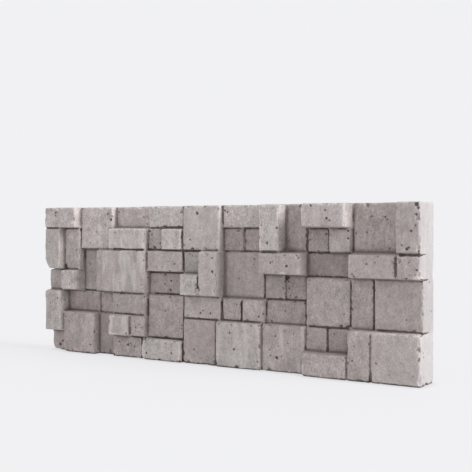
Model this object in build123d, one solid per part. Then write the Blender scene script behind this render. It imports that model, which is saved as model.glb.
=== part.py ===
from build123d import *
import os

# Cast concrete relief wall panel: a mosaic of blocks standing out from one slab, in one casting.
# X runs along the panel, Z up, and the relief looks along -Y. All sizes in millimetres.

# Face of the panel
LENGTH = 550.0
HEIGHT = 200.0

# Plain slab behind the deepest joints
SLAB = 19.0

# Open joint between two blocks: its width at the faces, its depth, and how far the blocks'
# roots run into each other at its bottom
JOINT = 2.4
JOINT_DEPTH = 15.0
ROOT_LAP = 0.3

# Worn front edge of a block, and of those rubbed rounder than the rest
ARRIS = 1.3
SOFT_ARRIS = 2.8

# The slab's own edges at the back
BACK_EDGE = 1.5

# Each block in whole or part squares of the setting-out grid, counted from the top left corner:
# left, right, top, bottom. The last figure is how far its face stands out from the slab.
BLOCKS = {
    "1a": (0, 2, 0, 1, 25),
    "1b": (2, 4, 0, 2, 13),
    "1c": (4, 6, 0, 1, 6),
    "1d": (6, 8, 0, 1, 12),
    "1e": (8, 10, 0, 2, 16),
    "1f": (10, 12, 0, 1, 11),
    "1g": (12, 13, 0, 2, 23),
    "1h": (13, 14, 0, 2, 5),
    "1i": (14, 16, 0, 1, 26),
    "1j": (16, 18, 0, 2, 5),
    "1k": (18, 19, 0, 2, 25),
    "2a": (0, 1, 1, 3, 25),
    "2b": (1, 2, 1, 3, 15),
    "2c": (3.8, 6, 1, 2, 19),
    "2d": (6, 6.8, 1, 2, 12),
    "2e": (6.8, 8, 1, 2, 17),
    "2f": (10, 11, 1, 2, 7),
    "2g": (11, 12, 1, 2, 5),
    "2h": (14, 15, 1, 2, 6),
    "2i": (15, 16, 1, 2, 11),
    "3a": (2, 3.1, 2, 4, 5),
    "3b": (3.1, 6, 2, 4, 21),
    "3c": (6, 8, 2, 3, 15),
    "3d": (8, 9, 2, 3, 13),
    "3e": (9, 10, 2, 4, 25),
    "3f": (10, 12, 2, 4, 5),
    "3g": (12, 14, 2, 2.95, 25),
    "3h": (14, 16, 2, 3, 5),
    "3i": (16, 18, 2, 3, 22),
    "3j": (18, 19, 2, 3, 23),
    "4a": (0, 1, 3, 4, 14),
    "4b": (1, 2, 3, 4, 24),
    "4c": (6, 8, 3, 4, 8),
    "4d": (8, 9, 3, 4, 24),
    "4e": (12, 13, 2.95, 4, 6),
    "4f": (13, 14, 2.95, 4, 5),
    "4g": (14, 16, 3, 5, 11),
    "4h": (16, 17, 3, 5, 11),
    "4i": (17, 19, 3, 5, 13),
    "5a": (0, 1.05, 4, 6, 25),
    "5b": (1.05, 3, 4, 5, 7),
    "5c": (3, 4, 4, 5, 6),
    "5d": (4, 6, 4, 5, 17),
    "5e": (6, 8, 4, 6, 12),
    "5f": (8, 10, 4, 5, 14),
    "5g": (10, 11, 4, 5, 12),
    "5h": (11, 12.1, 4, 5, 13),
    "5i": (12.1, 14, 4, 5, 7),
    "6a": (1, 3, 5, 7, 19),
    "6b": (3, 4, 5, 7, 7),
    "6c": (4, 5.15, 5, 6, 26),
    "6d": (5.15, 6, 5, 6, 20),
    "6e": (8, 9.75, 5, 7, 15),
    "6f": (9.75, 12, 5, 7, 17),
    "6g": (12, 14, 5, 7, 13),
    "6h": (14, 15, 5, 6, 11),
    "6i": (15, 16, 5, 6, 11),
    "6j": (16, 17, 5, 7, 23),
    "6k": (17, 19, 5, 7, 22),
    "7a": (0, 1, 6, 7, 9),
    "7b": (4, 5.75, 6, 7, 15),
    "7c": (5.75, 8, 6, 7, 19),
    "7d": (14, 16, 6, 7, 24),
}

SOFT = {"1g", "1i", "3b", "3e", "3g", "3i", "3j", "4d", "6a", "6c", "7c"}

# Corners knocked off: block, side, end, then how far the break runs along the face, up it and back
CHIPS = [
    ("2a", "left", "bottom", 9.0, 12.0, 60.0),
    ("4f", "left", "top", 4.0, 6.5, 8.0),
    ("4g", "right", "bottom", 7.0, 3.5, 6.0),
    ("5i", "left", "bottom", 6.0, 4.5, 8.0),
    ("7a", "left", "bottom", 5.0, 9.0, 60.0),
    ("7c", "left", "top", 13.0, 11.0, 9.0),
    ("7c", "left", "bottom", 5.0, 6.5, 12.0),
]

COLUMNS = max(right for _, right, _, _, _ in BLOCKS.values())
COURSES = max(bottom for _, _, _, bottom, _ in BLOCKS.values())
DEPTH = SLAB + max(out for *_, out in BLOCKS.values())
BACK_Y = DEPTH / 2
FACE_Y = BACK_Y - SLAB


def cell(left, right, top, bottom):
    """A block's share of the face, up to the middle of its joints: x0, x1, z0, z1."""
    pitch, course = LENGTH / COLUMNS, HEIGHT / COURSES
    along = [left * pitch - LENGTH / 2, right * pitch - LENGTH / 2]
    return *along, HEIGHT - bottom * course, HEIGHT - top * course


def grown(place, amount):
    """The cell with each side that meets another block moved outwards, and the panel's own edges kept."""
    left, right, top, bottom = place
    x0, x1, z0, z1 = cell(*place)
    return (
        x0 - amount * (left > 0),
        x1 + amount * (right < COLUMNS),
        z0 - amount * (bottom < COURSES),
        z1 + amount * (top > 0),
    )


def relief_block(name):
    """One block on the slab's face: a straight root, and a head that leaves the joints open."""
    *place, out = BLOCKS[name]
    x0, x1, z0, z1 = grown(place, ROOT_LAP)
    face_x0, face_x1, face_z0, face_z1 = grown(place, -JOINT / 2)
    width, height = x1 - x0, z1 - z0
    head_depth = min(JOINT_DEPTH, out)
    seat_y = FACE_Y - out + head_depth
    middle = (x0 + x1) / 2, (z0 + z1) / 2

    # The wedge is drawn narrowing along +Y and then turned round, which swaps its left and right.
    head = Wedge(
        width, head_depth, height, x1 - face_x1, face_z0 - z0, x1 - face_x0, face_z1 - z0,
        align=(Align.CENTER, Align.MIN, Align.CENTER),
    )
    head = Pos(middle[0], seat_y, middle[1]) * Rot(Z=180) * head
    front = head.faces().sort_by(Axis.Y)[0]
    block = fillet(front.edges(), SOFT_ARRIS if name in SOFT else ARRIS)
    if seat_y < FACE_Y:
        block += Pos(middle[0], (seat_y + FACE_Y) / 2, middle[1]) * Box(width, FACE_Y - seat_y, height)
    for chipped, side, end, *reach in CHIPS:
        if chipped == name:
            corner = face_x0 if side == "left" else face_x1, FACE_Y - out, face_z0 if end == "bottom" else face_z1
            inwards = 1 if side == "left" else -1, 1 if end == "bottom" else -1
            block = knocked(block, corner, inwards, *reach)
    return block


def knocked(block, corner, inwards, along, up, back):
    """The block without a corner of its face, broken off in one oblique plane."""
    x, y, z = corner
    slope = inwards[0] / along, 1 / back, inwards[1] / up
    broken = Plane(origin=(x + inwards[0] * along, y, z), z_dir=slope)
    return split(block, bisect_by=broken, keep=Keep.TOP)


def slab():
    """The plain slab, flat at the back and as long and as high as the panel."""
    body = Pos(0, FACE_Y + SLAB / 2, HEIGHT / 2) * Box(LENGTH, SLAB, HEIGHT)
    back = body.faces().sort_by(Axis.Y)[-1]
    return fillet(back.edges(), BACK_EDGE)


panel = slab().fuse(*[relief_block(name) for name in BLOCKS]).clean()
os.makedirs("parts", exist_ok=True)
export_step(panel, "parts/panel.step")
size = panel.bounding_box().size
print("panel", size, "solids", len(panel.solids()), "volume in cm3", round(panel.volume / 1000))
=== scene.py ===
import bpy
import math
import numpy as np
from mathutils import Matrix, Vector


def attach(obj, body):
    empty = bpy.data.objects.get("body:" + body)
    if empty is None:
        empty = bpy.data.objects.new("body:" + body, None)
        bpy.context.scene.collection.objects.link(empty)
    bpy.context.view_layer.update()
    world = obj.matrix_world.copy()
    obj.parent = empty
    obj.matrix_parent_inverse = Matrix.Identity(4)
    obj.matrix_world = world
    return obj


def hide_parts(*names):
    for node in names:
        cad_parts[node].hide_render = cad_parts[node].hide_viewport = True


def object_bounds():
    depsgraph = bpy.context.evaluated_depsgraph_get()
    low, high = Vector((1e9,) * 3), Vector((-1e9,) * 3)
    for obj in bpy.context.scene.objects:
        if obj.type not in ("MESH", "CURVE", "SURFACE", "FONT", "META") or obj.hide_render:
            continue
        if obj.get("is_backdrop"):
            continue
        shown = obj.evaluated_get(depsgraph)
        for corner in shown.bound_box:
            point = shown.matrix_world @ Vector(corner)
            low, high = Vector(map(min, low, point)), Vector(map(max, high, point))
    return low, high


# Cast concrete relief wall panel, standing on its long edge. Blender works in metres.
MM = 0.001

# The photograph's view: lens, place and direction of the camera
IMAGE_PX = 472
FOCAL_PX = 865.5
SENSOR_MM = 36.0
CAMERA_AT_MM = (604.0, -900.5, 170.0)
CAMERA_YAW_DEG = 32.5
CAMERA_PITCH_DEG = 0.46

# How fine the cast surface is made, and how many triangles it may keep
VOXEL_MM = 0.85
KEPT_TRIANGLES = 190000

# The plain slab's thickness, how far from its front a point is still on it, and how close to the
# back plane nothing is worn
SLAB_MM = 19.0
SLAB_CLEAR_MM = 0.5
BACK_KEPT_MM = 1.6

# A CAD face with a normal this near to -Y is a block's front, and on the fine mesh a normal with
# this much of an axis faces along it
FLAT = 0.999
FACING = 0.6

# Rounds of smoothing that find an arris or a pit, and a whole joint, and how far they move a point
# that is fully on one
WEAR_ROUNDS = 6
WIDE_ROUNDS = 30
ARRIS_MOVE_MM = 0.2
PIT_MOVE_MM = 0.35
JOINT_MOVE_MM = 0.9

# How much an arris is worn, as a share: its mean, how far that goes up and down, and the least, and
# how much more near the panel's rim, and how near that is
WEAR = 0.55
WEAR_SWING = 0.6
LEAST_WEAR = 0.1
RIM_WEAR = 0.5
RIM_WEAR_MM = 3.0

# Unevenness of the cast: how far faces swell, the shares of wide and small swellings, how much of
# it goes inwards, how far faces ripple, and how much less there is of both in a joint
SWELL_MM = 0.55
WIDE_SWELL = 0.65
SMALL_SWELL = 0.35
SWELL_INWARDS = 0.5
RIPPLE_MM = 0.12
LESS_IN_JOINT = 0.8

# How far a face leans, and how far behind its face a block still leans with it
FACE_TILT_MM = 0.8
FACE_DEPTH_MM = 2.5

# Smooth noises over the cast: how large their bumps are in mm, and their seed
NOISES = {
    "corner dirt and shade": (7.0, 41),
    "wear": (9.0, 3),
    "wide swell": (38.0, 21),
    "small swell": (14.0, 5),
    "ripple": (5.0, 12),
    "ragged hole": (2.5, 31),
    "groove": (8.0, 51),
}

# How far from a block's face a point still belongs to its joints, how far ahead of the face it no
# longer does, and how much that counts
JOINT_REACH_MM = 6.0
AHEAD_OF_FACE_MM = 2.0
AHEAD_WEIGHT = 4.0

# How deep the panel's outer rim is, which has no joints, and how much it looks like the formed sides
RIM_MM = 1.2
FORMED_RIM = 0.75

# Dirt and painted shade in the joints: how far off a block's face it is full, how much sooner it
# starts beside a prouder block, whose shade it paints, as a share of the step and at most, and at a
# block's corner, and how far round
DIRT_AND_SHADE_EDGE_MM = 0.8
STEP_DIRT_AND_SHADE_SHARE = 0.2
STEP_DIRT_AND_SHADE_MM = 0.9
CORNER_DIRT_AND_SHADE_MM = 1.3
CORNER_REACH_MM = 4.5

# Joints that run out on the panel's ends, top and bed, as shallow grooves: how near the edge an
# outermost block ends, half-width, depth, length, how far they wander, and how dark their dirt and
# painted shade are
OUTERMOST_MM = 4.0
GROOVE_MM = 1.0
GROOVE_DEPTH_MM = 1.2
GROOVE_RUN_MM = (13.0, 22.0)
GROOVE_WANDER_MM = 0.5
GROOVE_DIRT_AND_SHADE_MM = 3.8
GROOVE_CLEAN_MM = 0.3

# Small blow holes spread over the cast by a fixed draw: how many, their least radius and how much
# larger they get, and their depth as a share of it
SEED = 7
PIT_COUNT = 420
PIT_MM = (0.75, 0.9)
PIT_DEPTH = 0.7

# Small knocks by the same draw: how many, their least size and how much larger they get, how much
# more on the panel's rim, how far they lean, and their reach, bite and deepest bite as shares of it
KNOCK_COUNT = 800
RIM_KNOCK_COUNT = 90
KNOCK_MM = (0.9, 2.2)
RIM_KNOCK_TIMES = 1.6
KNOCK_LEAN = 0.35
KNOCK_REACH = 1.6
KNOCK_BITE = 0.36
DEEPEST_BITE = 0.6

# Where knocks go: how convex the cast is there, how far off the back, and what counts as its rim
KNOCKED_CONVEX = 0.75
KNOCKS_OFF_BACK_MM = 4.0
KNOCKED_RIM_MM = 2.0

# Tone of a block: its random share, less for one that lies deep, as painted shade that is partly dirt,
# and more towards the top, as painted light
BLOCK_TONE = 0.022
DEEP_DIRT_AND_SHADE = 0.17
DEEPEST_OUT_MM = 5.0
MIDDLE_OUT_MM = 14.0
TOP_PAINTED_LIGHT = 0.06

# Coolness of a block, from 0 to 1: of one in a middling tone, how it goes with tone, and its random share
COOL = 0.50
COOL_WITH_TONE = 1.5
COOL_SPREAD = 0.12

# Pale runs and sand grain: the random range of each, and how much the plain slab and formed sides have
RUNS = (0.0, 0.3)
PLAIN_RUNS = 0.1
GRAIN = (0.65, 1.15)
PLAIN_GRAIN = 0.9
FORMED_GRAIN = 0.3

# Rubbed rims: how pale in a middling tone, how that goes with tone, and its range
RIM_PALE = 0.15
RIM_PALE_WITH_TONE = 2.5
RIM_PALE_RANGE = (0.1, 0.6)

# The setting-out grid that the places below are counted on, from the panel's top left corner
COLUMNS = 19
COURSES = 7

# Blow holes and broken spots: column, course, then radius and depth in mm
HOLES = [
    (0.75, 0.25, 1.7, 0.9),
    (0.75, 0.40, 1.3, 0.7),
    (3.64, 0.34, 1.7, 0.8),
    (3.72, 0.27, 1.4, 0.6),
    (3.74, 0.44, 3.6, 0.3),
    (3.85, 0.60, 2.2, 1.6),
    (3.90, 0.44, 1.4, 0.6),
    (2.60, 1.70, 1.3, 0.9),
    (5.60, 0.50, 1.3, 0.9),
    (4.25, 1.20, 1.5, 1.0),
    (1.07, 2.90, 4.2, 2.2),
    (1.60, 3.70, 1.4, 0.9),
    (0.85, 4.40, 1.5, 0.8),
    (4.35, 4.60, 1.5, 1.0),
    (5.93, 4.15, 1.4, 1.0),
    (5.10, 5.85, 2.0, 1.4),
    (5.50, 5.55, 1.4, 0.9),
    (2.75, 6.55, 1.6, 1.0),
    (0.50, 6.72, 2.4, 2.2),
    (0.65, 6.55, 1.7, 1.6),
    (4.40, 6.30, 1.3, 1.1),
    (4.92, 6.42, 1.9, 1.5),
    (5.05, 6.35, 1.4, 1.2),
    (5.30, 6.48, 1.5, 1.2),
    (4.10, 6.93, 2.0, 1.5),
    (7.00, 0.98, 1.7, 1.2),
    (8.80, 0.35, 2.0, 2.0),
    (8.55, 1.95, 3.0, 2.0),
    (10.12, 0.25, 1.6, 1.2),
    (10.25, 0.32, 1.2, 1.0),
    (6.08, 1.15, 2.0, 1.5),
    (6.22, 1.30, 1.4, 1.0),
    (6.38, 1.90, 2.8, 1.8),
    (7.20, 2.50, 1.3, 1.0),
    (7.30, 2.95, 1.6, 1.0),
    (8.35, 2.15, 1.3, 0.9),
    (9.78, 2.88, 1.9, 1.8),
    (9.78, 2.30, 1.3, 0.9),
    (7.18, 3.40, 1.8, 1.4),
    (7.15, 3.80, 1.7, 1.3),
    (6.85, 3.55, 1.3, 1.0),
    (8.92, 4.74, 1.7, 1.3),
    (9.05, 4.62, 1.3, 1.1),
    (9.45, 4.72, 1.5, 1.2),
    (6.10, 6.68, 1.6, 1.2),
    (7.50, 6.60, 1.5, 1.0),
    (6.80, 6.97, 2.8, 2.2),
    (8.00, 6.95, 3.4, 2.4),
    (8.60, 6.35, 1.4, 1.1),
    (8.80, 6.97, 2.0, 1.5),
    (10.50, 5.50, 1.4, 1.3),
    (10.72, 6.18, 1.6, 1.5),
    (10.85, 6.95, 3.0, 2.2),
    (12.90, 1.00, 1.6, 1.4),
    (12.45, 1.63, 1.6, 1.4),
    (12.20, 0.88, 1.1, 0.9),
    (12.08, 1.40, 1.3, 1.0),
    (14.50, 0.10, 1.8, 1.3),
    (15.20, 0.62, 1.8, 1.6),
    (15.15, 0.30, 1.2, 1.0),
    (13.40, 2.55, 1.9, 2.2),
    (12.65, 2.42, 1.8, 0.9),
    (12.74, 2.38, 1.2, 0.8),
    (13.85, 2.12, 1.2, 0.9),
    (14.85, 1.25, 1.5, 1.2),
    (14.50, 1.95, 1.4, 1.0),
    (15.90, 1.12, 1.5, 1.4),
    (15.90, 1.42, 1.5, 1.3),
    (16.80, 0.55, 1.8, 0.7),
    (18.85, 0.12, 3.0, 2.2),
    (18.93, 0.26, 2.0, 1.4),
    (18.85, 0.50, 1.6, 1.2),
    (18.65, 1.12, 1.8, 0.8),
    (18.48, 1.80, 1.7, 1.6),
    (18.56, 1.74, 1.4, 1.3),
    (18.95, 1.92, 1.7, 1.2),
    (13.10, 3.22, 1.6, 1.0),
    (13.15, 3.50, 1.3, 0.9),
    (13.20, 3.80, 1.2, 0.8),
    (15.93, 2.72, 1.4, 1.2),
    (16.30, 2.93, 1.5, 1.0),
    (18.42, 2.94, 1.8, 1.4),
    (18.85, 2.58, 1.3, 1.2),
    (13.92, 4.08, 2.0, 1.4),
    (13.95, 4.62, 1.5, 1.0),
    (11.85, 4.75, 2.0, 0.8),
    (15.60, 4.92, 2.6, 1.8),
    (17.02, 3.42, 2.0, 1.4),
    (16.05, 4.20, 1.6, 1.0),
    (11.98, 5.10, 2.2, 1.5),
    (12.72, 6.40, 2.3, 1.6),
    (12.95, 6.32, 1.3, 0.8),
    (12.65, 5.50, 1.2, 0.9),
    (16.35, 5.62, 1.2, 0.9),
    (16.25, 6.20, 1.4, 1.0),
    (16.98, 6.95, 2.4, 1.8),
]

# How ragged their outlines are, as a share of the radius, and how deep one is that is fully dark
RAGGED = 0.35
DARK_HOLE_MM = 1.6

# Blocks that look unlike most: a square of theirs, tone, which on some low blocks is painted shade, how
# much cooler than their tone, and pale runs
LOOKS = [
    (0.5, 0.5, 0.16, 0.0, 0.3),
    (3.0, 1.0, 0.20, 0.0, 0.1),
    (5.0, 0.5, 0.14, 0.0, 0.0),
    (7.0, 0.5, 0.26, 0.0, 0.1),
    (9.0, 1.0, 0.18, 0.0, 0.2),
    (11.0, 0.5, 0.18, 0.0, 0.3),
    (12.5, 1.0, 0.24, 0.1, 0.3),
    (15.0, 0.5, 0.14, 0.0, 0.5),
    (17.0, 1.0, -0.02, -0.3, 0.3),
    (0.5, 2.0, 0.08, 0.2, 0.6),
    (1.5, 2.0, 0.08, 0.2, 0.1),
    (5.0, 1.5, 0.18, 0.0, 1.0),
    (6.4, 1.5, -0.05, 0.3, 0.0),
    (7.4, 1.5, 0.24, 0.0, 0.8),
    (10.5, 1.5, -0.18, 0.0, 0.0),
    (11.5, 1.5, -0.12, -0.3, 0.0),
    (2.5, 3.0, -0.14, 0.4, 0.3),
    (4.5, 3.0, 0.00, 0.1, 0.7),
    (7.0, 2.5, 0.05, 0.0, 0.1),
    (8.5, 2.5, -0.08, 0.6, 0.0),
    (9.5, 3.0, 0.08, 0.1, 0.4),
    (11.0, 3.0, -0.08, 0.0, 0.1),
    (15.0, 2.5, -0.28, 0.0, 0.0),
    (17.0, 2.5, 0.04, -0.2, 0.1),
    (1.5, 3.5, 0.12, 0.3, 0.1),
    (7.0, 3.5, -0.12, 0.0, 0.0),
    (8.5, 3.5, 0.18, 0.2, 0.2),
    (13.5, 3.5, -0.22, 0.0, 0.0),
    (15.0, 4.0, -0.02, 0.0, 0.1),
    (16.5, 4.0, -0.10, 0.0, 0.1),
    (18.0, 4.0, -0.05, 0.0, 0.1),
    (0.5, 5.0, 0.02, 0.3, 0.5),
    (2.0, 4.5, -0.16, -0.3, 0.0),
    (5.0, 4.5, -0.08, 0.2, 0.1),
    (7.0, 5.0, -0.08, 0.0, 0.1),
    (9.0, 4.5, 0.06, -0.1, 0.1),
    (13.0, 4.5, -0.18, 0.0, 0.1),
    (3.5, 6.0, -0.22, 0.3, 0.1),
    (4.5, 5.5, 0.03, 0.2, 0.9),
    (9.0, 6.0, -0.07, 0.0, 0.1),
    (11.0, 6.0, 0.08, 0.2, 0.5),
    (13.0, 6.0, -0.03, 0.0, 0.6),
    (15.5, 5.5, -0.22, 0.0, 0.0),
    (18.0, 6.0, 0.12, 0.1, 0.1),
    (7.0, 6.5, 0.12, 0.2, 0.1),
]

# Dark mottled stains, and one patch of painted shade: column, course, radius in mm, and how strong
STAINS_AND_SHADE = [
    (5.4, 0.85, 7.0, 0.6),
    (6.2, 1.5, 9.0, 0.7),
    (7.2, 3.6, 16.0, 0.7),
    (4.9, 6.5, 14.0, 0.5),
    (16.8, 0.6, 18.0, 0.6),
    (15.1, 1.1, 8.0, 0.7),
    (13.15, 3.4, 10.0, 0.9),
    (11.8, 4.8, 8.0, 0.6),
    (13.4, 6.7, 14.0, 0.5),
    (18.7, 1.0, 14.0, 0.4),
    (3.7, 4.3, 9.0, 0.4),
    (12.4, 4.8, 9.0, 0.4),
    # Painted shade on the leaning block's right side, not a stain
    (1.85, 3.5, 6.0, 0.9),
]

# Where cement has run into a joint and filled it: column, course, radius in mm, and how far the line
# along the joint's middle stays sunk, in mm
BRIDGES = [
    (6.1, 4.05, 8.0, 0.5),
    (12.2, 4.95, 11.0, 0.5),
    (8.6, 4.03, 5.0, 0.5),
    (3.3, 2.0, 5.0, 0.5),
    (5.15, 5.3, 9.0, 0.5),
    (5.95, 6.1, 10.0, 0.5),
    (9.0, 3.8, 9.0, 0.8),
    (16.0, 5.0, 4.0, 0.5),
    (8.0, 2.5, 18.0, 2.6),
    (8.0, 1.5, 16.0, 2.6),
    (12.3, 2.0, 16.0, 3.0),
    (12.75, 2.0, 16.0, 3.0),
    (18.0, 2.5, 24.0, 1.7),
    (18.6, 2.0, 18.0, 2.2),
]

# How far a filled joint's sides stay sunk, the half-width of the line along its middle, where it is
# at its full depth and at its edge, and how steeply the filling ends
FILLED_MM = 0.5
FILLED_LINE_MM = (0.8, 1.6)
FILLED_STEEP = 1.6

# Joints that are darker than most: column, course and radius in mm
DARK_JOINTS = [
    (1.00, 3.00, 8.0),
    (2.00, 2.30, 9.0),
    (4.50, 2.00, 12.0),
    (13.2, 2.00, 7.0),
    (14.0, 1.05, 6.0),
    (14.3, 1.00, 8.0),
    (14.8, 1.00, 8.0),
    (15.6, 1.00, 8.0),
    (14.0, 1.70, 7.0),
    (16.0, 0.60, 9.0),
    (12.1, 3.00, 6.0),
    (14.0, 4.15, 6.0),
    (7.80, 5.00, 7.0),
    (17.0, 6.80, 7.0),
    (17.5, 5.00, 14.0),
]

# How much sooner dirt and painted shade start in them, and how steeply that ends
DARK_JOINT_MM = 2.0
DARK_STEEP = 1.3

# Rims rubbed white: column, course and radius in mm
WHITE_RIMS = [
    (4.30, 5.95, 8.0),
    (4.85, 5.95, 8.0),
    (5.80, 6.45, 9.0),
    (8.35, 3.95, 7.0),
    (13.2, 2.92, 9.0),
    (12.05, 1.70, 9.0),
    (12.05, 0.30, 8.0),
    (14.10, 0.45, 10.0),
    (16.10, 2.45, 9.0),
    (14.10, 6.65, 7.0),
    (18.90, 2.85, 9.0),
]

# How much paler they are, and how steeply that ends
WHITE_RIM = 2.0
WHITE_STEEP = 1.5

# The block whose right side leans back, more than the rest: a square of it, how far, and how much
# of its face and its depth leans
LEANING_AT = (1.5, 3.5)
LEAN_MM = 4.0
LEAN_FACE_MM = 12.0
LEAN_DEPTH_MM = 20.0

# The corner broken off behind the right end's foot: how far along, back and up
BROKEN_CORNER_MM = (5.0, 5.0, 6.5)

# Colours of the concrete, in linear light: two of its cement, in blotches, and its tints from warm
# to cool
CEMENT = (0.412, 0.365, 0.352)
DARKER_CEMENT = (0.385, 0.350, 0.338)
WARM_TINT = (1.025, 0.972, 0.974)
COOL_TINT = (0.985, 1.005, 0.995)

# Its formed sides at the foot, darker there as painted shade, and from a height in mm upwards, and how
# much of that colour they take
FORMED_SHADED_FOOT = (0.345, 0.335, 0.335)
FORMED = (0.396, 0.385, 0.384)
FORMED_SHADED_FOOT_MM = 80.0
FORMED_SHARE = 0.8

# Its pale marks and its dark ones; the shaded wall is painted shade, the stained colour also paints one
# patch of shade, and the joint colours are dirt and painted shade
LAITANCE = (0.60, 0.565, 0.55)
RUBBED = (0.62, 0.585, 0.57)
PORE = (0.10, 0.082, 0.075)
STAINED_AND_SHADED = (0.17, 0.150, 0.135)
SHADED_WALL = (0.17, 0.142, 0.130)
JOINT_MOUTH = (0.048, 0.035, 0.031)
JOINT_BOTTOM = (0.165, 0.130, 0.116)
BLOW_HOLE = (0.11, 0.085, 0.074)

# The white of the photograph's backdrop, the key light, and the table, how far round the panel it is
# shaded and how much
STAGE_WHITE = (0.8796, 0.8796, 0.8963)
KEY_STRENGTH = 3.15
KEY_AZIMUTH_DEG = 95
KEY_ELEVATION_DEG = 30
KEY_SOFTNESS_DEG = 26
FLOOR_M = 60.0
FLOOR_ALBEDO = 0.12
CONTACT_MM = 11.0
CONTACT_SHADE = 0.84

# What the lit table has to give off itself to look as white as the backdrop
KEY_ON_FLOOR = KEY_STRENGTH * math.sin(math.radians(KEY_ELEVATION_DEG)) / math.pi
FLOOR_GLOW = tuple(white - FLOOR_ALBEDO * (white + KEY_ON_FLOOR) for white in STAGE_WHITE)

# Numbers that stir the corners of a noise's cells, and the largest one that comes of it
STIR = (73856093, 19349663, 83492791, 2654435761)
STIR_AGAIN = 1274126177
LARGEST = 0x7FFFFFFF
SEED_SHIFT = 17.31


def value_noise(points, size, seed):
    """Smooth noise from -1 to 1 at each point, with bumps about as large as size."""
    cell = points / size + seed * SEED_SHIFT
    low = np.floor(cell).astype(np.int64)
    f = cell - low
    f = f * f * (3.0 - 2.0 * f)
    total = np.zeros(len(points))
    for corner in range(8):
        step = np.array([corner & 1, corner >> 1 & 1, corner >> 2 & 1])
        k = low + step
        h = (k[:, 0] * STIR[0]) ^ (k[:, 1] * STIR[1]) ^ (k[:, 2] * STIR[2]) ^ (seed * STIR[3])
        h = (h ^ (h >> 13)) * STIR_AGAIN & LARGEST
        weight = np.prod(np.where(step == 1, f, 1.0 - f), axis=1)
        total += weight * (h / (LARGEST // 2) - 1.0)
    return total


def relief_faces(node):
    """The front face of each block, from the CAD mesh: rows of x0, x1, z0, z1 and y, in metres."""
    mesh = node.data
    slab_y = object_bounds()[1][1] - (SLAB_MM + SLAB_CLEAR_MM) * MM
    owner, groups = {}, []
    for poly in mesh.polygons:
        if poly.normal.y > -FLAT or poly.center.y > slab_y:
            continue
        keys = [tuple(round(c, 6) for c in mesh.vertices[i].co) for i in poly.vertices]
        near = {owner[k] for k in keys if k in owner}
        home = min(near) if near else len(groups)
        if not near:
            groups.append(set())
        for other in near - {home}:
            groups[home] |= groups[other]
            groups[other] = set()
        groups[home] |= set(keys)
        owner.update({k: home for k in groups[home]})
    rows = []
    for group in groups:
        if group:
            p = np.array(sorted(group))
            rows.append((*p[:, 0][[0, -1]], p[:, 2].min(), p[:, 2].max(), p[:, 1].mean()))
    return np.array(rows)


def even_copy(node):
    """The CAD solid as one closed mesh of small even faces."""
    rough = bpy.data.objects.new("rough_copy", node.data.copy())
    bpy.context.scene.collection.objects.link(rough)
    remesh = rough.modifiers.new("even", "REMESH")
    remesh.mode, remesh.voxel_size = "VOXEL", VOXEL_MM * MM
    mesh = bpy.data.meshes.new_from_object(rough.evaluated_get(bpy.context.evaluated_depsgraph_get()))
    bpy.data.objects.remove(rough)
    return mesh


class Cast:
    """The cast surface while it is worn: its points as they started, as they are now, and their looks."""

    def __init__(self, node):
        self.mesh = even_copy(node)
        self.faces = relief_faces(node)
        self.low, self.high = (np.array(corner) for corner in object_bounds())
        self.slab_y = self.high[1] - SLAB_MM * MM
        self.start = self.read(self.mesh.vertices, "co")
        self.normals = self.read(self.mesh.vertex_normals, "vector")
        edges = np.empty(len(self.mesh.edges) * 2, np.int32)
        self.mesh.edges.foreach_get("vertices", edges)
        self.edges = edges.reshape(-1, 2)
        self.order = np.argsort(self.start[:, 0])
        self.back = self.high[1] - self.start[:, 1] < BACK_KEPT_MM * MM
        self.worn = self.start.copy()
        self.looks = {}

    def read(self, items, name):
        values = np.empty(len(items) * 3, np.float32)
        items.foreach_get(name, values)
        return values.reshape(-1, 3).astype(float)

    def smoothed(self, points, rounds):
        """The points after each has moved to the mean of its neighbours so many times."""
        n = len(points)
        a, b = np.concatenate([self.edges, self.edges[:, ::-1]]).T
        count = np.bincount(a, minlength=n)[:, None]
        for _ in range(rounds):
            points = np.stack([np.bincount(a, points[b, k], n) for k in range(3)], axis=1) / count
        return points

    def noise(self, name):
        """One of the named noises at each point, from -1 to 1."""
        size, seed = NOISES[name]
        return value_noise(self.start, size * MM, seed)

    def place(self, column, course):
        """Where a place on the setting-out grid lies: x and z."""
        size = self.high - self.low
        return self.low[0] + size[0] * column / COLUMNS, self.high[2] - size[2] * course / COURSES

    def on_face(self, column, course):
        """Which blocks' faces have that place on them: one, or none in a joint."""
        x, z = self.place(column, course)
        x0, x1, z0, z1, _ = self.faces.T
        return (x0 < x) & (x < x1) & (z0 < z) & (z < z1)

    def away_from(self, column, course):
        """How far each point is from a place on the grid, seen from the front."""
        x, z = self.place(column, course)
        return np.hypot(self.start[:, 0] - x, self.start[:, 2] - z)

    def around(self, places, steep):
        """From 0 outside all the places to 1 at their middles: each is column, course and radius in mm.

        The share falls evenly from the middle when steep is 1, and later and faster when it is more.
        """
        share = np.zeros(len(self.start))
        for column, course, radius in places:
            closeness = steep * (1.0 - self.away_from(column, course) / (radius * MM))
            share = np.maximum(share, np.clip(closeness, 0.0, 1.0))
        return share

    def near(self, middle, radius):
        """Numbers of the points within radius of middle, and how far each is as a share of it."""
        x = self.start[self.order, 0]
        part = self.order[np.searchsorted(x, middle[0] - radius):np.searchsorted(x, middle[0] + radius)]
        away = np.linalg.norm(self.start[part] - middle, axis=1)
        return part[away < radius], away[away < radius] / radius


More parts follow.
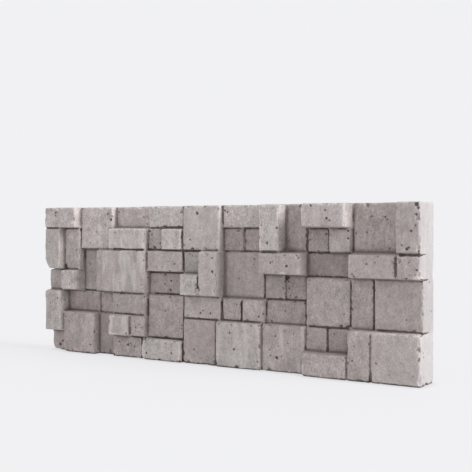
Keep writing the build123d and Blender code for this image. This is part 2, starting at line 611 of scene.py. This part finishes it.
def find_blocks(cast):
    """For each point: its block, how far it lies down a joint, and how far behind its block's face."""
    x, y, z = cast.start.T
    nearest, second, corner = np.full((3, len(x)), np.inf)
    lowest, proudest = np.full(len(x), -np.inf), np.full(len(x), np.inf)
    block = np.zeros(len(x), int)
    for i, (x0, x1, z0, z1, face_y) in enumerate(cast.faces):
        aside = np.maximum(np.maximum(x0 - x, x - x1), 0.0)
        above = np.maximum(np.maximum(z0 - z, z - z1), 0.0)
        ahead = np.maximum(face_y - AHEAD_OF_FACE_MM * MM - y, 0.0)
        away = np.hypot(aside, above) + AHEAD_WEIGHT * ahead
        closer = away < nearest
        second = np.where(closer, nearest, np.minimum(second, away))
        nearest[closer], block[closer] = away[closer], i
        beside = np.maximum(aside, above) < JOINT_REACH_MM * MM
        lowest[beside] = np.maximum(lowest[beside], face_y)
        proudest[beside] = np.minimum(proudest[beside], face_y)
        to_side = np.minimum(np.abs(x - x0), np.abs(x - x1))
        to_end = np.minimum(np.abs(z - z0), np.abs(z - z1))
        corner = np.minimum(corner, np.hypot(to_side, to_end))
    cast.block, cast.nearest = block, nearest

    to_rim = np.minimum(cast.start - cast.low, cast.high - cast.start)
    rim = (to_rim < RIM_MM * MM) & (np.abs(cast.normals) > FACING)
    cast.rim = rim[:, 0] | rim[:, 2]
    inside = ~cast.rim & np.isfinite(lowest) & (y < cast.slab_y + SLAB_CLEAR_MM * MM)
    lowest, proudest = np.where(inside, lowest, y), np.where(inside, proudest, y)
    # How far down a joint a point looks. This sets the joints' dirt and painted shade, which start sooner
    # beside a prouder block, at block corners and in the darker joints
    off_face = np.clip(nearest / (DIRT_AND_SHADE_EDGE_MM * MM), 0.0, 1.0)
    step = np.minimum(STEP_DIRT_AND_SHADE_SHARE * (lowest - proudest) / MM, STEP_DIRT_AND_SHADE_MM)
    patchy = 0.5 + 0.5 * cast.noise("corner dirt and shade")
    angle = CORNER_DIRT_AND_SHADE_MM * patchy * np.clip(1.0 - corner / (CORNER_REACH_MM * MM), 0.0, 1.0)
    dark = DARK_JOINT_MM * cast.around(DARK_JOINTS, DARK_STEEP)
    depth = (y - lowest) / MM + np.where(inside, off_face * (step + angle + dark), 0.0)
    cast.filling = np.zeros(len(x))
    full, edge = FILLED_LINE_MM
    line = np.clip((edge - (second - nearest) / (2.0 * MM)) / (edge - full), 0.0, 1.0)
    for *place, sunk in BRIDGES:
        filled = cast.around([place], FILLED_STEEP)
        bottom = FILLED_MM + (sunk - FILLED_MM) * line
        depth -= filled * np.maximum(depth - bottom, 0.0)
        cast.filling = np.maximum(cast.filling, filled * (y - lowest - bottom * MM) * inside)
    cast.looks["joint_depth"] = depth
    cast.looks["wall"] = np.where(inside, (y - cast.faces[block, 4]) / MM, 0.0)
    slab_side = (cast.normals[:, 1] > FACING) | (cast.rim & (y > cast.slab_y))
    cast.looks["formed"] = np.where(slab_side, 1.0, np.where(cast.rim, FORMED_RIM, 0.0))


def tone_blocks(cast, rng):
    """Each block's tone, with painted light towards the top and painted shade, partly dirt, on deep-lying
    blocks; its coolness, pale runs and grain.
    """
    count = len(cast.faces)
    out = (cast.slab_y - cast.faces[:, 4]) / MM
    height = cast.high[2] - cast.low[2]
    up = (cast.faces[:, 2:4].mean(axis=1) - cast.low[2]) / height
    deep = np.clip((MIDDLE_OUT_MM - out) / (MIDDLE_OUT_MM - DEEPEST_OUT_MM), 0.0, 1.0)
    # Deep-lying blocks darker: painted shade, partly dirt
    tone = rng.normal(0.0, BLOCK_TONE, count) - DEEP_DIRT_AND_SHADE * deep
    # Brighter towards the top: painted light from above
    tone += TOP_PAINTED_LIGHT * np.clip(2.0 * up - 1.0, 0.0, 1.0)
    cooler, runs = rng.uniform(-COOL_SPREAD, COOL_SPREAD, count), rng.uniform(*RUNS, count)
    grain = rng.uniform(*GRAIN, count)
    for column, course, *look in LOOKS:
        chosen = cast.on_face(column, course)
        tone[chosen], cooler[chosen], runs[chosen] = look
    cool = np.clip(COOL + COOL_WITH_TONE * tone + cooler, 0.0, 1.0)
    plain = cast.nearest > JOINT_REACH_MM * MM
    rim_pale = np.clip(RIM_PALE + RIM_PALE_WITH_TONE * tone, *RIM_PALE_RANGE)
    for name, values, elsewhere in (
        ("tone_and_painted_shading", tone, 0.0),
        ("cast_cool", cool, COOL),
        ("cast_runs", runs, PLAIN_RUNS),
        ("cast_grain", grain, PLAIN_GRAIN),
        ("rim_pale", rim_pale, RIM_PALE_RANGE[0]),
    ):
        cast.looks[name] = np.where(plain, elsewhere, values[cast.block])
    cast.looks["rim_pale"] += WHITE_RIM * cast.around(WHITE_RIMS, WHITE_STEEP)
    formed = cast.looks["formed"] > 0.5
    cast.looks["cast_grain"] = np.where(formed, FORMED_GRAIN, cast.looks["cast_grain"])
    # Stains, and the patch of painted shade on the leaning block's side
    stain_and_shade = np.zeros(len(cast.start))
    for column, course, radius, strength in STAINS_AND_SHADE:
        share = cast.away_from(column, course) / (radius * MM)
        stain_and_shade = np.maximum(stain_and_shade, strength * np.clip(1.3 - share ** 2, 0.0, 1.0))
    cast.looks["stain_and_shade"] = stain_and_shade * (cast.start[:, 1] < cast.slab_y)
    cast.looks["above_bed"] = (cast.start[:, 2] - cast.low[2]) / MM


def wear(cast):
    """Rounded arrises and uneven swollen faces. The back stays as it was formed."""
    start, normals = cast.start, cast.normals
    soft, wide = cast.smoothed(start, WEAR_ROUNDS), cast.smoothed(start, WIDE_ROUNDS)
    cast.convex = np.clip(-np.sum((soft - start) * normals, axis=1) / (ARRIS_MOVE_MM * MM), 0.0, 1.0)
    in_joint = np.clip(np.sum((wide - start) * normals, axis=1) / (JOINT_MOVE_MM * MM), 0.0, 1.0)
    free = np.where(cast.back, 0.0, 1.0)
    uneven = np.clip(WEAR + WEAR_SWING * cast.noise("wear"), LEAST_WEAR, 1.0)
    cast.worn += (soft - start) * (free * uneven * cast.convex)[:, None]
    to_rim = np.minimum(start - cast.low, cast.high - start)
    near_rim = np.minimum(to_rim[:, 0], to_rim[:, 2]) < RIM_WEAR_MM * MM
    outer = near_rim & (start[:, 1] < cast.slab_y)
    cast.worn += (wide - start) * (RIM_WEAR * outer * uneven * cast.convex)[:, None]
    bumps = WIDE_SWELL * cast.noise("wide swell") + SMALL_SWELL * cast.noise("small swell")
    swell = SWELL_MM * (bumps - SWELL_INWARDS)
    ripple = RIPPLE_MM * cast.noise("ripple")
    less = 1.0 - LESS_IN_JOINT * in_joint
    cast.worn += normals * (free * less * (swell + ripple) * MM)[:, None]
    cast.worn[:, 1] -= cast.filling
    cast.plain = (normals[:, 1] < 0.5) & ~cast.back & (cast.convex < 0.3) & (in_joint < 0.3)


def tilt_blocks(cast, rng):
    """Each face leans a little its own way, and one block's right side leans back a lot."""
    for i, (x0, x1, z0, z1, y) in enumerate(cast.faces):
        front = (cast.block == i) & (cast.start[:, 1] < y + FACE_DEPTH_MM * MM)
        across, up = rng.uniform(-1, 1, 2) * FACE_TILT_MM * MM
        u = np.clip((cast.start[front, 0] - x0) / (x1 - x0), 0, 1)
        w = np.clip((cast.start[front, 2] - z0) / (z1 - z0), 0, 1)
        u, w = u if across > 0 else 1 - u, w if up > 0 else 1 - w
        cast.worn[front, 1] += abs(across) * u + abs(up) * w
    leaning = cast.on_face(*LEANING_AT)
    _, x1, _, _, y = cast.faces[leaning][0]
    own = leaning[cast.block]
    across = np.clip((cast.start[:, 0] - x1) / (LEAN_FACE_MM * MM) + 1.0, 0.0, 1.0)
    down = np.clip(1.0 - (cast.start[:, 1] - y) / (LEAN_DEPTH_MM * MM), 0.0, 1.0)
    cast.worn[:, 0] -= LEAN_MM * MM * own * across * down


def knock_arrises(cast, rng):
    """Small flat breaks along the worn arrises, larger on the panel's own rim."""
    away_from_back = cast.high[1] - cast.start[:, 1] > KNOCKS_OFF_BACK_MM * MM
    arris = np.where((cast.convex > KNOCKED_CONVEX) & ~cast.back & away_from_back)[0]
    to_rim = np.minimum(cast.start - cast.low, cast.high - cast.start)[arris]
    rim = arris[np.minimum(to_rim[:, 0], to_rim[:, 2]) < KNOCKED_RIM_MM * MM]
    knocks = [(i, 1.0) for i in rng.choice(arris, KNOCK_COUNT, replace=False)]
    knocks += [(i, RIM_KNOCK_TIMES) for i in rng.choice(rim, RIM_KNOCK_COUNT, replace=False)]
    least, more = KNOCK_MM
    for i, times in knocks:
        size = times * (least + more * rng.random() ** 3) * MM
        lean = cast.normals[i] + rng.uniform(-KNOCK_LEAN, KNOCK_LEAN, 3)
        lean /= np.linalg.norm(lean)
        part, away = cast.near(cast.start[i], size * KNOCK_REACH)
        faced = (1.0 - away ** 2) * np.clip(cast.normals[part] @ lean + 0.3, 0.0, 1.0)
        bite = (cast.worn[part] - cast.worn[i]) @ lean + KNOCK_BITE * size * faced
        cast.worn[part] -= lean * np.clip(bite, 0.0, DEEPEST_BITE * size * faced)[:, None]


def sink_holes(cast, rng):
    """Small blow holes anywhere on the outside, and the named ones where they are."""
    least, more = PIT_MM
    for i in rng.choice(np.where(cast.plain)[0], PIT_COUNT, replace=False):
        radius = (least + more * rng.random() ** 3) * MM
        part, away = cast.near(cast.start[i], radius)
        cast.worn[part] -= cast.normals[part] * (PIT_DEPTH * radius * (1.0 - away ** 2))[:, None]
    pitted = np.zeros(len(cast.start))
    ragged = MM * (1.0 + RAGGED * cast.noise("ragged hole"))
    for column, course, radius, depth in HOLES:
        away = cast.away_from(column, course) / (radius * ragged)
        hit = (away < 1.0) & (cast.normals[:, 1] < -0.3)
        cast.worn[hit, 1] += depth * MM * (1.0 - away[hit] ** 3)
        darkest = min(depth / DARK_HOLE_MM, 1.0)
        pitted[hit] = np.maximum(pitted[hit], darkest * (1.0 - away[hit] ** 2))
    cast.looks["pitted"] = pitted


def run_joints_out(cast, rng):
    """Shallow grooves on the ends, top and bed, where the joints between the outermost blocks run out."""
    joint_depth = cast.looks["joint_depth"]
    wander = GROOVE_WANDER_MM * MM * cast.noise("groove")
    for side, other in ((0, 2), (2, 0)):
        for edge, outwards in ((cast.low[side], -1.0), (cast.high[side], 1.0)):
            outermost = cast.faces[:, side + (outwards > 0)]
            rows = cast.faces[np.abs(outermost - edge) < OUTERMOST_MM * MM]
            rows = rows[np.argsort(rows[:, other])]
            flat = cast.rim & (np.abs(cast.start[:, side] - edge) < RIM_MM * MM)
            for before, after in zip(rows, rows[1:]):
                middle, front = (before[other + 1] + after[other]) / 2, max(before[4], after[4])
                run = rng.uniform(*GROOVE_RUN_MM) * MM
                back = np.clip((cast.start[:, 1] - front) / run, 0.0, 1.0)
                half_width = GROOVE_MM * MM * (1.2 - 0.6 * back)
                aside = np.abs(cast.start[:, other] + wander - middle) / half_width
                hollow = np.clip(1.0 - aside ** 2, 0.0, 1.0) * (1.0 - back ** 2)
                groove = np.where(flat & (back < 1.0), hollow, 0.0)
                cast.worn[:, side] -= outwards * GROOVE_DEPTH_MM * MM * groove
                # The groove's dirt and painted shade, as a depth in the joint mask
                dirt_and_shade = GROOVE_DIRT_AND_SHADE_MM * np.sqrt(groove) - GROOVE_CLEAN_MM
                joint_depth[:] = np.maximum(joint_depth, dirt_and_shade)


def break_corner(cast):
    """One oblique break behind the foot of the right end."""
    inwards = np.array([-1.0, -1.0, 1.0]) / (np.array(BROKEN_CORNER_MM) * MM)
    corner = np.array([cast.high[0], cast.high[1], cast.low[2]])
    short = 1.0 - (cast.worn - corner) @ inwards
    cast.worn += np.clip(short, 0.0, None)[:, None] * inwards / (inwards @ inwards)


def mark_hollows(cast):
    """How far each point of the finished surface lies in its surroundings, or stands out of them."""
    moves = [cast.smoothed(cast.worn, rounds) - cast.worn for rounds in (WEAR_ROUNDS, WIDE_ROUNDS)]
    fine = np.sum(moves[0] * cast.normals, axis=1) / (PIT_MOVE_MM * MM)
    wide = np.sum(moves[1] * cast.normals, axis=1) / (JOINT_MOVE_MM * MM)
    cast.looks["hollow"] = np.clip(np.where(wide + fine > 0, np.maximum(fine, wide), wide), -1.0, 1.0)


def cast_surface(node):
    """A fine copy of the CAD solid with worn arrises, uneven faces, knocks and blow holes."""
    rng = np.random.default_rng(SEED)
    cast = Cast(node)
    find_blocks(cast)
    tone_blocks(cast, rng)
    wear(cast)
    tilt_blocks(cast, rng)
    knock_arrises(cast, rng)
    sink_holes(cast, rng)
    run_joints_out(cast, rng)
    break_corner(cast)
    cast.worn = np.clip(cast.worn, cast.low, cast.high)
    mark_hollows(cast)

    mesh = cast.mesh
    mesh.vertices.foreach_set("co", cast.worn.astype(np.float32).ravel())
    for name, values in cast.looks.items():
        layer = mesh.attributes.new(name, "FLOAT", "POINT")
        layer.data.foreach_set("value", values.astype(np.float32))
    mesh.update()
    panel = bpy.data.objects.new("cast_panel", mesh)
    bpy.context.scene.collection.objects.link(panel)
    thin = panel.modifiers.new("thin", "DECIMATE")
    thin.ratio = min(1.0, KEPT_TRIANGLES / (2 * len(mesh.polygons)))
    thinned = bpy.data.meshes.new_from_object(panel.evaluated_get(bpy.context.evaluated_depsgraph_get()))
    panel.modifiers.clear()
    panel.data = thinned
    thinned.shade_smooth()
    return panel


class Nodes:
    """Short calls for building a material's node tree."""

    def __init__(self, name):
        self.material = bpy.data.materials.new(name)
        self.material.use_nodes = True
        self.tree = self.material.node_tree
        self.shader = self.tree.nodes["Principled BSDF"]
        self.coords = self.tree.nodes.new("ShaderNodeTexCoord").outputs["Object"]

    def link(self, source, target):
        self.tree.links.new(source, target)

    def noise(self, scale, detail=4.0, rough=0.6, stretch=(1, 1, 1), shift=0.0):
        place = self.tree.nodes.new("ShaderNodeMapping")
        place.inputs["Scale"].default_value = stretch
        place.inputs["Location"].default_value = (shift, shift, shift)
        self.link(self.coords, place.inputs["Vector"])
        node = self.tree.nodes.new("ShaderNodeTexNoise")
        node.inputs["Scale"].default_value = scale
        node.inputs["Detail"].default_value = detail
        node.inputs["Roughness"].default_value = rough
        self.link(place.outputs["Vector"], node.inputs["Vector"])
        return node.outputs["Fac"]

    def spots(self, scale, shift=0.0):
        place = self.tree.nodes.new("ShaderNodeMapping")
        place.inputs["Location"].default_value = (shift, shift, shift)
        self.link(self.coords, place.inputs["Vector"])
        node = self.tree.nodes.new("ShaderNodeTexVoronoi")
        node.inputs["Scale"].default_value = scale
        self.link(place.outputs["Vector"], node.inputs["Vector"])
        return node.outputs["Distance"], node.outputs["Color"]

    def ramp(self, value, low, high, out_low=0.0, out_high=1.0):
        node = self.tree.nodes.new("ShaderNodeMapRange")
        ends = {"From Min": low, "From Max": high, "To Min": out_low, "To Max": out_high}
        for key, number in ends.items():
            node.inputs[key].default_value = number
        self.link(value, node.inputs["Value"])
        return node.outputs["Result"]

    def maths(self, kind, a, b):
        node = self.tree.nodes.new("ShaderNodeMath")
        node.operation = kind
        for slot, value in ((0, a), (1, b)):
            if isinstance(value, (int, float)):
                node.inputs[slot].default_value = value
            else:
                self.link(value, node.inputs[slot])
        return node.outputs["Value"]

    def times(self, a, b):
        return self.maths("MULTIPLY", a, b)

    def plus(self, a, b):
        return self.maths("ADD", a, b)

    def most(self, a, b):
        return self.maths("MAXIMUM", a, b)

    def mix(self, factor, a, b, kind="MIX"):
        node = self.tree.nodes.new("ShaderNodeMix")
        node.data_type, node.blend_type = "RGBA", kind
        for slot, value in ((0, factor), (6, a), (7, b)):
            if isinstance(value, (int, float)):
                node.inputs[slot].default_value = value
            elif isinstance(value, tuple):
                node.inputs[slot].default_value = (*value, 1.0)
            else:
                self.link(value, node.inputs[slot])
        return node.outputs[2]

    def grey(self, level):
        node = self.tree.nodes.new("ShaderNodeCombineColor")
        for channel in range(3):
            self.link(level, node.inputs[channel])
        return node.outputs["Color"]

    def attribute(self, name):
        node = self.tree.nodes.new("ShaderNodeAttribute")
        node.attribute_name = name
        return node.outputs["Fac"]


def cement_colour(n):
    """Warm to cool grey by block, in soft blotches, with sand grain, each block's tone with its painted
    light and shade, and formed sides with painted shade at the foot.
    """
    blotch = n.ramp(n.noise(26, 3, 0.55), 0.36, 0.64)
    colour = n.mix(blotch, CEMENT, DARKER_CEMENT)
    tint = n.mix(n.attribute("cast_cool"), WARM_TINT, COOL_TINT)
    colour = n.mix(1.0, colour, tint, "MULTIPLY")
    # Formed sides painted darker towards the foot: painted shade
    formed = n.mix(n.ramp(n.attribute("above_bed"), 0.0, FORMED_SHADED_FOOT_MM), FORMED_SHADED_FOOT, FORMED)
    colour = n.mix(n.times(n.attribute("formed"), FORMED_SHARE), colour, formed)
    cloud = n.ramp(n.noise(48, 4, 0.6, shift=3.0), 0.30, 0.70, 0.88, 1.12)
    mottle = n.ramp(n.noise(150, 5, 0.7, stretch=(1.0, 1.0, 0.7), shift=13.0), 0.30, 0.70, 0.80, 1.20)
    grain = n.ramp(n.noise(600, 3, 0.7, stretch=(1.0, 1.0, 0.7), shift=7.0), 0.28, 0.72, 0.66, 1.34)
    rough_cast = n.times(n.times(mottle, grain), cloud)
    uneven = n.times(n.plus(rough_cast, -1.0), n.attribute("cast_grain"))
    # Each block's tone, which holds painted light towards the top and painted shade on deep-lying blocks
    level = n.times(n.plus(uneven, 1.0), n.plus(n.attribute("tone_and_painted_shading"), 1.0))
    return n.mix(1.0, colour, n.grey(level), "MULTIPLY")


def pale_marks(n, colour):
    """Laitance in runs and patches, rubbed rims and single pale sand grains."""
    run = n.ramp(n.noise(95, 3, 0.55, stretch=(1.0, 1.0, 0.22), shift=11.0), 0.52, 0.64)
    run = n.times(n.times(run, n.attribute("cast_runs")), 0.80)
    patch = n.times(n.ramp(n.noise(70, 4, 0.6, shift=17.0), 0.60, 0.72), 0.30)
    distance, cell = n.spots(310, 5.0)
    reach = n.ramp(cell, 0.55, 1.0, -0.05, 0.22)
    sand = n.times(n.ramp(n.maths("SUBTRACT", reach, distance), 0.0, 0.08), 0.40)
    sand = n.times(sand, n.maths("SUBTRACT", 1.0, n.attribute("formed")))
    colour = n.mix(n.most(n.most(run, patch), sand), colour, LAITANCE)
    rubbed = n.times(n.ramp(n.attribute("hollow"), -0.30, -0.9), n.attribute("rim_pale"))
    rubbed = n.times(rubbed, n.ramp(n.noise(120, 3, 0.6, shift=37.0), 0.38, 0.58))
    return n.mix(n.times(rubbed, 0.90), colour, RUBBED)


def pores_of(n):
    """Open pores, more of them in the stains and the patch of painted shade, and fewer on the formed
    sides.
    """
    crowd = n.ramp(n.noise(33, 3, 0.6, shift=29.0), 0.35, 0.65, -0.07, 0.05)
    crowd = n.plus(crowd, n.times(n.attribute("stain_and_shade"), 0.10))
    distance, cell = n.spots(150, 2.0)
    reach = n.plus(n.ramp(cell, 0.45, 1.0, -0.05, 0.14), crowd)
    pore = n.ramp(n.maths("SUBTRACT", reach, distance), 0.0, 0.04)
    distance, cell = n.spots(390, 9.0)
    reach = n.plus(n.ramp(cell, 0.35, 1.0, -0.05, 0.24), crowd)
    small = n.times(n.ramp(n.maths("SUBTRACT", reach, distance), 0.0, 0.08), 0.9)
    return n.times(n.most(pore, small), n.ramp(n.attribute("formed"), 0.0, 1.0, 1.0, 0.3))


def dark_marks(n, colour, pores):
    """Pores, stains, painted shade in recesses, in hollows and on one leaning side, dirt and painted
    shade in the joints, a painted contact shadow along the foot, and blow holes.
    """
    colour = n.mix(n.times(pores, 0.75), colour, PORE)
    mottled = n.ramp(n.noise(130, 5, 0.7, stretch=(1.0, 1.0, 0.55), shift=43.0), 0.40, 0.66)
    colour = n.mix(n.times(n.times(n.attribute("stain_and_shade"), mottled), 0.55), colour, STAINED_AND_SHADED)
    colour = n.mix(n.ramp(n.attribute("wall"), 3.0, 14.0, 0.0, 0.22), colour, SHADED_WALL)
    ragged = n.ramp(n.noise(210, 4, 0.7, shift=23.0), 0.3, 0.7, -0.5, 0.5)
    # The joints' dirt and painted shade
    joint = n.ramp(n.plus(n.attribute("joint_depth"), ragged), 0.6, 1.8)
    joint = n.times(joint, n.ramp(n.noise(80, 3, 0.6, shift=47.0), 0.35, 0.60, 0.80, 1.0))
    # Painted shade in hollows
    dirt_and_shade = n.most(joint, n.times(n.ramp(n.attribute("hollow"), 0.15, 0.9), 0.6))
    # Painted contact shadow along the foot, within a few mm of the bed
    foot_shadow = n.ramp(n.plus(n.attribute("above_bed"), n.times(ragged, 1.6)), 2.4, 1.0)
    dirt_and_shade = n.times(n.most(dirt_and_shade, n.times(foot_shadow, 0.88)), 0.96)
    deep = n.mix(n.ramp(n.attribute("joint_depth"), 2.0, 5.5), JOINT_MOUTH, JOINT_BOTTOM)
    colour = n.mix(dirt_and_shade, colour, deep)
    hole = n.times(n.ramp(n.attribute("pitted"), 0.0, 0.5), 0.7)
    return n.mix(hole, colour, BLOW_HOLE)


def concrete():
    """Cast concrete: its cement, pale marks, pores, dirt and painted light and shade, dull and finely
    pitted.
    """
    n = Nodes("cast_concrete")
    pores = pores_of(n)
    colour = dark_marks(n, pale_marks(n, cement_colour(n)), pores)
    n.link(colour, n.shader.inputs["Base Color"])
    rough = n.ramp(n.noise(140, 4, 0.6, shift=9.0), 0.3, 0.7, 0.82, 0.97)
    n.link(rough, n.shader.inputs["Roughness"])
    n.shader.inputs["Specular IOR Level"].default_value = 0.25
    height = n.plus(n.noise(480, 6, 0.75, shift=1.0), n.times(n.noise(150, 4, 0.6), 1.2))
    height = n.maths("SUBTRACT", height, n.times(pores, 1.2))
    bump = n.tree.nodes.new("ShaderNodeBump")
    bump.inputs["Strength"].default_value = 0.6
    bump.inputs["Distance"].default_value = 0.6 * MM
    n.link(height, bump.inputs["Height"])
    n.link(bump.outputs["Normal"], n.shader.inputs["Normal"])
    return n.material


def floor_material():
    """A lit white table: mostly its own light, so that shadows on it stay faint."""
    n = Nodes("white_table")
    n.shader.inputs["Base Color"].default_value = (FLOOR_ALBEDO, FLOOR_ALBEDO, FLOOR_ALBEDO, 1.0)
    n.shader.inputs["Roughness"].default_value = 1.0
    n.shader.inputs["Specular IOR Level"].default_value = 0.0
    contact = n.tree.nodes.new("ShaderNodeAmbientOcclusion")
    contact.samples = 12
    contact.inputs["Distance"].default_value = CONTACT_MM * MM
    n.shader.inputs["Emission Color"].default_value = (*FLOOR_GLOW, 1.0)
    glow = n.ramp(contact.outputs["AO"], 0.4, 1.0, CONTACT_SHADE, 1.0)
    n.link(glow, n.shader.inputs["Emission Strength"])
    return n.material


def build_stage():
    """A level floor that runs out to a background of the same white."""
    bpy.ops.mesh.primitive_plane_add(size=FLOOR_M, location=(0, 0, 0))
    floor = bpy.context.object
    floor.name = "floor"
    floor.data.materials.append(floor_material())
    floor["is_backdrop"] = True
    world = bpy.data.worlds.new("studio")
    world.use_nodes = True
    background = world.node_tree.nodes["Background"]
    background.inputs["Color"].default_value = (*STAGE_WHITE, 1.0)
    background.inputs["Strength"].default_value = 1.0
    bpy.context.scene.world = world


def sun(name, strength, azimuth, elevation, softness):
    """Light from that side and height, in degrees: azimuth 0 comes from the front, 90 from the right."""
    light = bpy.data.lights.new(name, "SUN")
    light.energy, light.angle = strength, math.radians(softness)
    lamp = bpy.data.objects.new(name, light)
    a, e = math.radians(azimuth), math.radians(elevation)
    source = Vector((math.sin(a) * math.cos(e), -math.cos(a) * math.cos(e), math.sin(e)))
    lamp.rotation_euler = source.to_track_quat("Z", "Y").to_euler()
    bpy.context.scene.collection.objects.link(lamp)


def build_camera():
    """The camera where the photograph was taken from."""
    data = bpy.data.cameras.new("camera")
    data.sensor_width = SENSOR_MM
    data.lens = FOCAL_PX * SENSOR_MM / IMAGE_PX
    data.clip_start, data.clip_end = 0.01, 100.0
    camera = bpy.data.objects.new("camera", data)
    camera.location = Vector(CAMERA_AT_MM) * MM
    camera.rotation_euler = (math.radians(90 - CAMERA_PITCH_DEG), 0.0, math.radians(CAMERA_YAW_DEG))
    bpy.context.scene.collection.objects.link(camera)
    bpy.context.scene.camera = camera


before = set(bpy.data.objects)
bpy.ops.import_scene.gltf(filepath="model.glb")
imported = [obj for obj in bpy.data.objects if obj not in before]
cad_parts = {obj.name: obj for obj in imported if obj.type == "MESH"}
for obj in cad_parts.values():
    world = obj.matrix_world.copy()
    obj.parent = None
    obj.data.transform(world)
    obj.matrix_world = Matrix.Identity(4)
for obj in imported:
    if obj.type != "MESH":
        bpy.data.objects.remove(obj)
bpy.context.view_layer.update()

panel = cast_surface(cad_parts["panel"])
panel.data.materials.clear()
panel.data.materials.append(concrete())
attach(panel, "root")
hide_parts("panel")
print("cast panel triangles", sum(len(p.vertices) - 2 for p in panel.data.polygons))

build_stage()
sun("key", KEY_STRENGTH, KEY_AZIMUTH_DEG, KEY_ELEVATION_DEG, KEY_SOFTNESS_DEG)
build_camera()
bpy.context.scene.view_settings.view_transform = "Standard"
